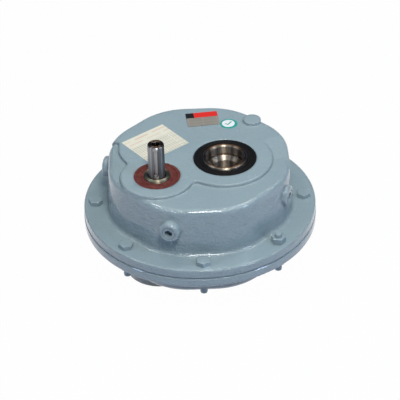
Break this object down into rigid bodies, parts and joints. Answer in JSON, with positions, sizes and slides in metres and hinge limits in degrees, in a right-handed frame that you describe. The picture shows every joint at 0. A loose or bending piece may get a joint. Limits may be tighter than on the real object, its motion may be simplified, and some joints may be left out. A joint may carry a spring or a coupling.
{
  "type": "shaft mounted speed reducer",
  "caption": "Shaft mounted speed reducer: round flanged cast casing with helical gears, a keyed input shaft end and a hollow keyed output hub with oil seals.",
  "frame": {"origin": "on the output bore axis, in the parting plane of the two casing halves", "axes": "+Z along the output bore towards the input shaft end; flange bolts at every 45 degrees from +X, and the input shaft lies on the -X, -Y side of the bore"},
  "size_m": [0.3172, 0.3172, 0.2],
  "materials": {
    "casing_paint": "grey-blue enamel over rough cast iron",
    "gasket_fibre": "pressed fibre",
    "ground_steel": "ground",
    "turned_steel": "fine turned, lightly oiled",
    "gear_steel": "case hardened and ground",
    "bearing_steel": "polished",
    "cage_steel": "pressed sheet",
    "spring_steel": "blued",
    "red_rubber": "moulded",
    "black_rubber": "moulded",
    "nameplate_metal": "anodised foil"
  },
  "bodies": {
    "casing": {"upper_casing": "casing_paint", "lower_casing": "casing_paint", "casing_bolts": "casing_paint", "casing_nuts": "casing_paint", "torque_arm_stud": "casing_paint", "stud_nuts": "casing_paint", "oil_plugs": "casing_paint", "casing_gasket": "gasket_fibre", "dowel_pins": "ground_steel", "nameplate": "nameplate_metal", "bearing_circlip": "spring_steel", "input_oil_seal": "red_rubber", "input_seal_spring": "spring_steel", "output_upper_seal": "black_rubber", "output_upper_seal_spring": "spring_steel", "output_lower_seal": "black_rubber", "output_lower_seal_spring": "spring_steel", "input_upper_bearing_outer_ring": "bearing_steel", "input_lower_bearing_outer_ring": "bearing_steel", "middle_upper_bearing_outer_ring": "bearing_steel", "middle_lower_bearing_outer_ring": "bearing_steel", "output_upper_bearing_outer_ring": "bearing_steel", "output_lower_bearing_outer_ring": "bearing_steel"},
    "output": {"output_hub": "turned_steel", "output_gear": "gear_steel", "output_key": "ground_steel", "output_spacer": "ground_steel", "output_upper_bearing_inner_ring": "bearing_steel", "output_lower_bearing_inner_ring": "bearing_steel"},
    "intermediate": {"intermediate_shaft": "gear_steel", "intermediate_gear": "gear_steel", "intermediate_key": "ground_steel", "intermediate_spacer": "ground_steel", "middle_upper_bearing_inner_ring": "bearing_steel", "middle_lower_bearing_inner_ring": "bearing_steel"},
    "input": {"input_shaft": "ground_steel", "input_seal_sleeve": "ground_steel", "input_upper_bearing_inner_ring": "bearing_steel", "input_lower_bearing_inner_ring": "bearing_steel"},
    "input_upper_cage": {"input_upper_bearing_balls": "bearing_steel", "input_upper_bearing_cage": "cage_steel"},
    "input_lower_cage": {"input_lower_bearing_balls": "bearing_steel", "input_lower_bearing_cage": "cage_steel"},
    "middle_upper_cage": {"middle_upper_bearing_balls": "bearing_steel", "middle_upper_bearing_cage": "cage_steel"},
    "middle_lower_cage": {"middle_lower_bearing_balls": "bearing_steel", "middle_lower_bearing_cage": "cage_steel"},
    "output_upper_cage": {"output_upper_bearing_balls": "bearing_steel", "output_upper_bearing_cage": "cage_steel"},
    "output_lower_cage": {"output_lower_bearing_balls": "bearing_steel", "output_lower_bearing_cage": "cage_steel"}
  },
  "joints": [
    {"name": "output_spin", "type": "hinge", "parent": "casing", "child": "output", "pos_m": [0, 0, 0], "axis": [0, 0, 1], "continuous": true},
    {"name": "intermediate_spin", "type": "hinge", "parent": "casing", "child": "intermediate", "pos_m": [-0.08888, 0.0238, 0], "axis": [0, 0, 1], "continuous": true},
    {"name": "input_spin", "type": "hinge", "parent": "casing", "child": "input", "pos_m": [-0.0913, -0.0362, 0], "axis": [0, 0, 1], "continuous": true},
    {"name": "input_upper_cage_spin", "type": "hinge", "parent": "casing", "child": "input_upper_cage", "pos_m": [-0.0913, -0.0362, 0], "axis": [0, 0, 1], "continuous": true},
    {"name": "input_lower_cage_spin", "type": "hinge", "parent": "casing", "child": "input_lower_cage", "pos_m": [-0.0913, -0.0362, 0], "axis": [0, 0, 1], "continuous": true},
    {"name": "middle_upper_cage_spin", "type": "hinge", "parent": "casing", "child": "middle_upper_cage", "pos_m": [-0.08888, 0.0238, 0], "axis": [0, 0, 1], "continuous": true},
    {"name": "middle_lower_cage_spin", "type": "hinge", "parent": "casing", "child": "middle_lower_cage", "pos_m": [-0.08888, 0.0238, 0], "axis": [0, 0, 1], "continuous": true},
    {"name": "output_upper_cage_spin", "type": "hinge", "parent": "casing", "child": "output_upper_cage", "pos_m": [0, 0, 0], "axis": [0, 0, 1], "continuous": true},
    {"name": "output_lower_cage_spin", "type": "hinge", "parent": "casing", "child": "output_lower_cage", "pos_m": [0, 0, 0], "axis": [0, 0, 1], "continuous": true}
  ],
  "couplings": [
    {"joint": "intermediate_spin", "follows": "output_spin", "ratio": -5},
    {"joint": "input_spin", "follows": "output_spin", "ratio": 13.125},
    {"joint": "input_upper_cage_spin", "follows": "output_spin", "ratio": 4.8276},
    {"joint": "input_lower_cage_spin", "follows": "output_spin", "ratio": 4.8276},
    {"joint": "middle_upper_cage_spin", "follows": "output_spin", "ratio": -1.9104},
    {"joint": "middle_lower_cage_spin", "follows": "output_spin", "ratio": -1.9104},
    {"joint": "output_upper_cage_spin", "follows": "output_spin", "ratio": 0.43355},
    {"joint": "output_lower_cage_spin", "follows": "output_spin", "ratio": 0.43355}
  ]
}
